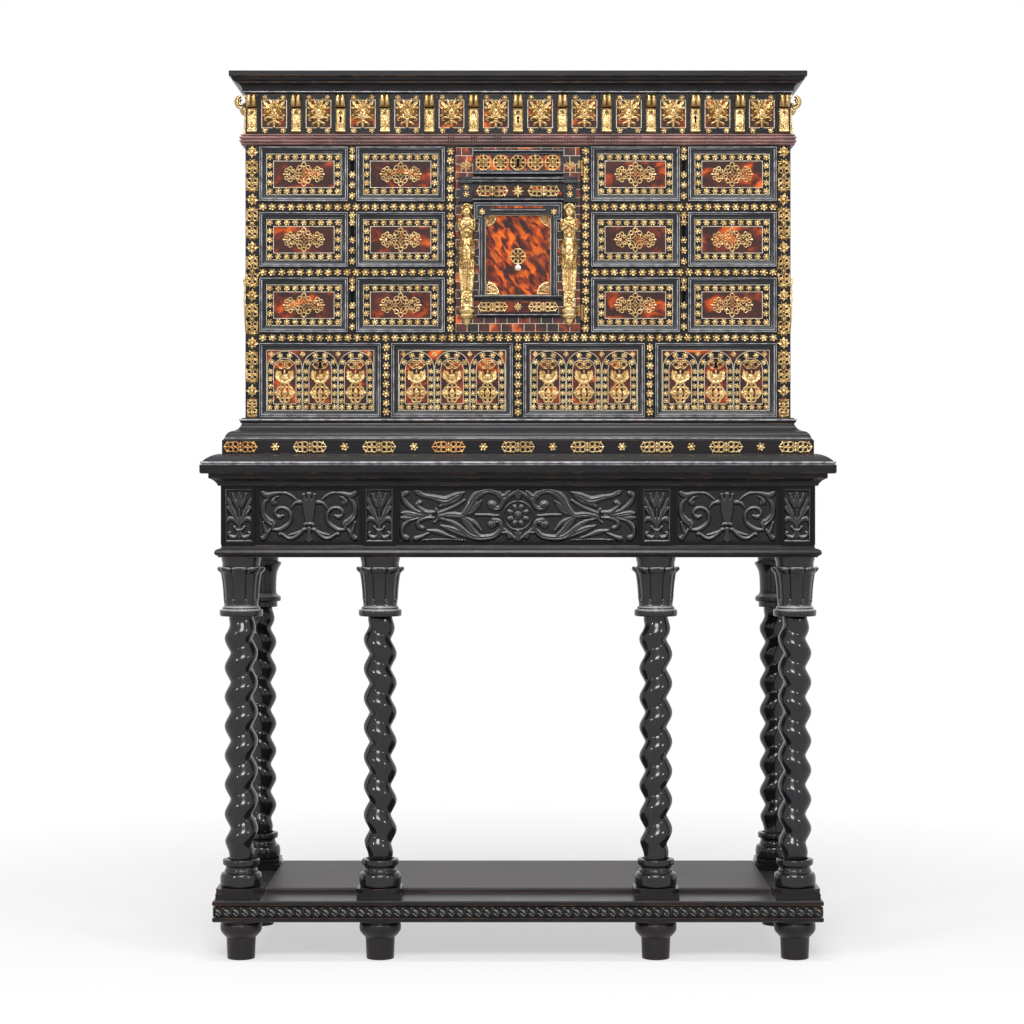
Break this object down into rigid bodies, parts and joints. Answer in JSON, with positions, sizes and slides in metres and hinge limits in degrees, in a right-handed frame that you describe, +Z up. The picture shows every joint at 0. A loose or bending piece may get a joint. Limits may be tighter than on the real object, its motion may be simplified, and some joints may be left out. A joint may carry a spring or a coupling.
{
  "type": "cabinet on stand",
  "caption": "Ebonised cabinet with gilt mounts, framed drawers and an architectural door, on an open stand of twisted columns.",
  "frame": {"origin": "on the floor under the middle of the table top", "axes": "+Z up, front faces -Y, +X to the right of someone who faces it"},
  "size_m": [1.13, 0.458, 1.5954],
  "materials": {
    "polished_ebonised_wood": "polished",
    "carved_ebonised_wood": "waxed",
    "worn_board": "worn satin",
    "ripple_wood": "polished",
    "veneered_front": "polished veneer",
    "inner_wood": "oiled",
    "gilt_bronze": "old gilding",
    "silvered_knob": "polished",
    "lock_iron": "forged"
  },
  "bodies": {
    "case_and_stand": {"apron_carved_panels": "carved_ebonised_wood", "apron_rails": "polished_ebonised_wood", "back_twisted_columns": "carved_ebonised_wood", "base_board": "worn_board", "base_platform": "carved_ebonised_wood", "bead_moulding_board": "polished_ebonised_wood", "cabinet_plinth": "polished_ebonised_wood", "carcase_back": "inner_wood", "carcase_sides": "polished_ebonised_wood", "column_capitals": "carved_ebonised_wood", "column_plinth_blocks": "carved_ebonised_wood", "corner_pilasters": "polished_ebonised_wood", "cornice": "polished_ebonised_wood", "door_hinge_posts": "gilt_bronze", "face_strips": "polished_ebonised_wood", "fixed_consoles": "gilt_bronze", "front_twisted_columns": "carved_ebonised_wood", "handle_mounts": "gilt_bronze", "ripple_moulding": "ripple_wood", "shelf_boards": "inner_wood", "stand_feet": "carved_ebonised_wood", "table_top": "polished_ebonised_wood", "under_top_moulding": "polished_ebonised_wood", "upright_boards": "inner_wood"},
    "door": {"door_panel": "veneered_front", "door_architrave": "polished_ebonised_wood", "door_figures": "gilt_bronze", "door_knob": "silvered_knob", "door_lock": "lock_iron", "door_hinge_leaves": "gilt_bronze"},
    "left_handle": {"left_bail": "gilt_bronze"},
    "right_handle": {"right_bail": "gilt_bronze"},
    "left_1_drawer": {"drawer_left_1": "veneered_front", "lock_left_1": "lock_iron"},
    "left_2_drawer": {"drawer_left_2": "veneered_front", "lock_left_2": "lock_iron"},
    "left_3_drawer": {"drawer_left_3": "veneered_front", "lock_left_3": "lock_iron"},
    "right_1_drawer": {"drawer_right_1": "veneered_front", "lock_right_1": "lock_iron"},
    "right_2_drawer": {"drawer_right_2": "veneered_front", "lock_right_2": "lock_iron"},
    "right_3_drawer": {"drawer_right_3": "veneered_front", "lock_right_3": "lock_iron"},
    "lower_1_drawer": {"drawer_lower_1": "veneered_front", "lock_lower_1": "lock_iron"},
    "lower_2_drawer": {"drawer_lower_2": "veneered_front"},
    "lower_3_drawer": {"drawer_lower_3": "veneered_front"},
    "lower_4_drawer": {"drawer_lower_4": "veneered_front", "lock_lower_4": "lock_iron"},
    "frieze_1_drawer": {"consoles_frieze_1": "gilt_bronze", "drawer_frieze_1": "veneered_front", "lock_frieze_1": "lock_iron"},
    "frieze_2_drawer": {"consoles_frieze_2": "gilt_bronze", "drawer_frieze_2": "veneered_front", "lock_frieze_2": "lock_iron"},
    "frieze_3_drawer": {"consoles_frieze_3": "gilt_bronze", "drawer_frieze_3": "veneered_front", "lock_frieze_3": "lock_iron"}
  },
  "joints": [
    {"name": "left_1_slide", "type": "slide", "parent": "case_and_stand", "child": "left_1_drawer", "axis": [0, -1, 0], "range_m": [0, 0.25]},
    {"name": "left_2_slide", "type": "slide", "parent": "case_and_stand", "child": "left_2_drawer", "axis": [0, -1, 0], "range_m": [0, 0.25]},
    {"name": "left_3_slide", "type": "slide", "parent": "case_and_stand", "child": "left_3_drawer", "axis": [0, -1, 0], "range_m": [0, 0.25]},
    {"name": "right_1_slide", "type": "slide", "parent": "case_and_stand", "child": "right_1_drawer", "axis": [0, -1, 0], "range_m": [0, 0.25]},
    {"name": "right_2_slide", "type": "slide", "parent": "case_and_stand", "child": "right_2_drawer", "axis": [0, -1, 0], "range_m": [0, 0.25]},
    {"name": "right_3_slide", "type": "slide", "parent": "case_and_stand", "child": "right_3_drawer", "axis": [0, -1, 0], "range_m": [0, 0.25]},
    {"name": "lower_1_slide", "type": "slide", "parent": "case_and_stand", "child": "lower_1_drawer", "axis": [0, -1, 0], "range_m": [0, 0.25]},
    {"name": "lower_2_slide", "type": "slide", "parent": "case_and_stand", "child": "lower_2_drawer", "axis": [0, -1, 0], "range_m": [0, 0.25]},
    {"name": "lower_3_slide", "type": "slide", "parent": "case_and_stand", "child": "lower_3_drawer", "axis": [0, -1, 0], "range_m": [0, 0.25]},
    {"name": "lower_4_slide", "type": "slide", "parent": "case_and_stand", "child": "lower_4_drawer", "axis": [0, -1, 0], "range_m": [0, 0.25]},
    {"name": "frieze_1_slide", "type": "slide", "parent": "case_and_stand", "child": "frieze_1_drawer", "axis": [0, -1, 0], "range_m": [0, 0.25]},
    {"name": "frieze_2_slide", "type": "slide", "parent": "case_and_stand", "child": "frieze_2_drawer", "axis": [0, -1, 0], "range_m": [0, 0.25]},
    {"name": "frieze_3_slide", "type": "slide", "parent": "case_and_stand", "child": "frieze_3_drawer", "axis": [0, -1, 0], "range_m": [0, 0.25]},
    {"name": "door_hinge", "type": "hinge", "parent": "case_and_stand", "child": "door", "pos_m": [0.1155, -0.155, 1.2946], "axis": [0, 0, 1], "range_deg": [0, 90]},
    {"name": "right_handle_hinge", "type": "hinge", "parent": "case_and_stand", "child": "right_handle", "pos_m": [0.506, 0.024, 1.232], "axis": [0, -1, 0], "range_deg": [-5, 170]},
    {"name": "left_handle_hinge", "type": "hinge", "parent": "case_and_stand", "child": "left_handle", "pos_m": [-0.506, 0.024, 1.232], "axis": [0, 1, 0], "range_deg": [-5, 170]}
  ]
}
